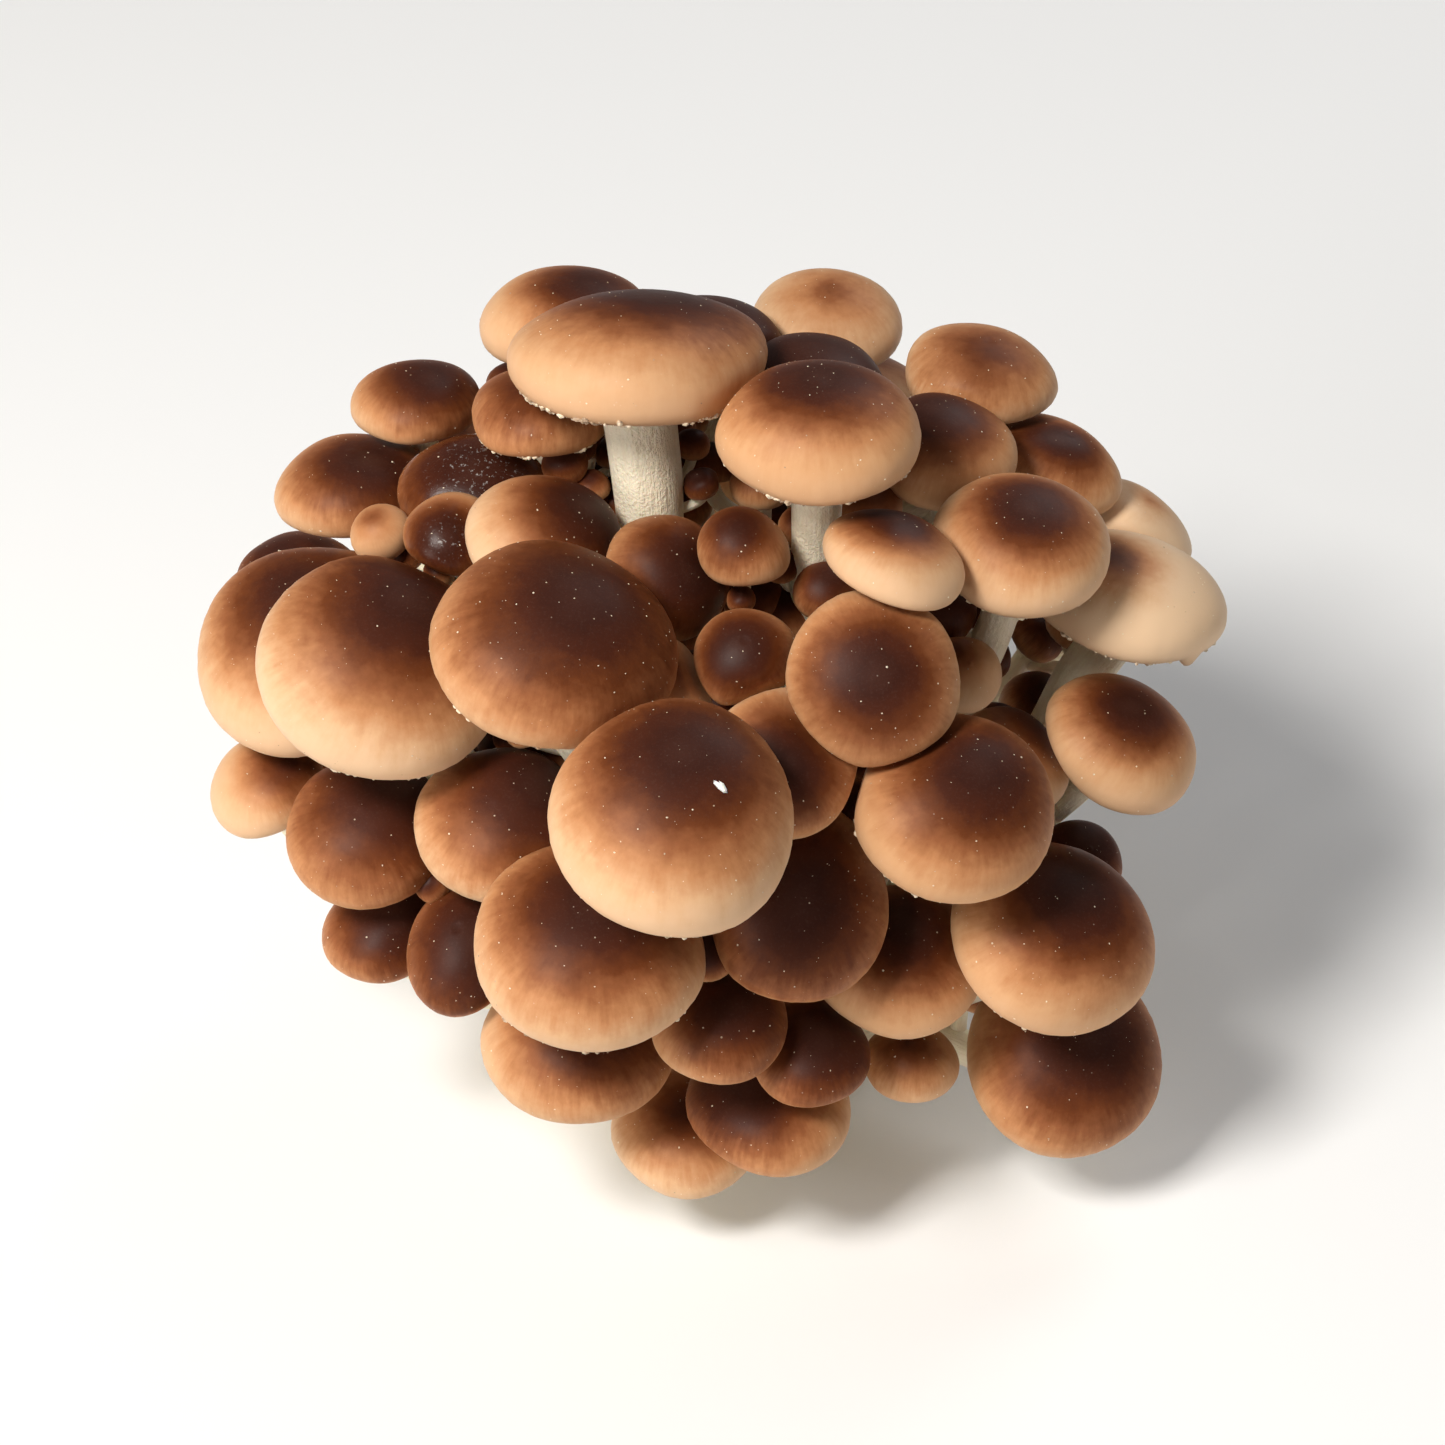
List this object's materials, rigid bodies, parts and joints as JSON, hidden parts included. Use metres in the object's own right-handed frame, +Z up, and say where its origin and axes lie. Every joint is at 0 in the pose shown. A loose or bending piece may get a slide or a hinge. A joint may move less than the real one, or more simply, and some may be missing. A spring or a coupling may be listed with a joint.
{
  "type": "pioppino mushroom cluster",
  "caption": "Clump of brown-capped pioppino mushrooms on pale curved stems that grow together in one cut butt; stands on the cut as a food prop.",
  "frame": {"origin": "middle of the cut face the clump stands on", "axes": "+Z up, away from the cut; -Y towards the side the clump shows in the picture; +X to the right as seen from that side"},
  "size_m": [0.1812, 0.178, 0.155],
  "materials": {
    "cap_dark": "dark chocolate cap skin, satin, slightly greasy in the middle",
    "cap_brown": "brown cap skin fading to tan at the margin, satin matte",
    "cap_light": "tan cap skin fading to cream at the margin, satin matte",
    "flesh": "cream stem flesh, fibrous and matte"
  },
  "bodies": {
    "root": {"cap_top_1": "cap_brown", "cap_top_2": "cap_brown", "cap_top_3": "cap_dark", "cap_top_4": "cap_light", "cap_top_5": "cap_dark", "cap_top_6": "cap_light", "cap_top_7": "cap_brown", "cap_top_8": "cap_brown", "cap_right_1": "cap_dark", "cap_right_2": "cap_brown", "cap_right_3": "cap_light", "cap_right_4": "cap_brown", "cap_right_5": "cap_light", "cap_right_6": "cap_brown", "cap_right_7": "cap_brown", "cap_right_8": "cap_brown", "cap_right_9": "cap_dark", "cap_right_10": "cap_light", "cap_right_11": "cap_dark", "cap_mid_1": "cap_light", "cap_mid_2": "cap_dark", "cap_mid_3": "cap_brown", "cap_mid_4": "cap_dark", "cap_mid_5": "cap_dark", "cap_left_1": "cap_brown", "cap_left_2": "cap_brown", "cap_left_3": "cap_dark", "cap_left_4": "cap_dark", "cap_left_5": "cap_brown", "cap_left_6": "cap_dark", "cap_left_7": "cap_brown", "cap_left_8": "cap_light", "cap_left_9": "cap_brown", "cap_front_1": "cap_brown", "cap_front_2": "cap_dark", "cap_front_3": "cap_light", "cap_front_4": "cap_brown", "cap_front_5": "cap_dark", "cap_front_6": "cap_light", "cap_low_1": "cap_dark", "cap_low_2": "cap_dark", "cap_low_3": "cap_brown", "cap_low_4": "cap_brown", "cap_low_5": "cap_dark", "cap_low_6": "cap_dark", "cap_low_7": "cap_brown", "cap_low_8": "cap_brown", "cap_low_9": "cap_brown", "cap_low_10": "cap_brown", "cap_low_11": "cap_brown", "cap_low_12": "cap_light", "cap_back_1": "cap_brown", "cap_back_2": "cap_brown", "cap_back_3": "cap_light", "cap_back_4": "cap_brown", "cap_back_5": "cap_dark", "cap_back_6": "cap_brown", "cap_back_7": "cap_dark", "cap_back_8": "cap_brown", "stems_and_butt": "flesh"}
  },
  "joints": []
}
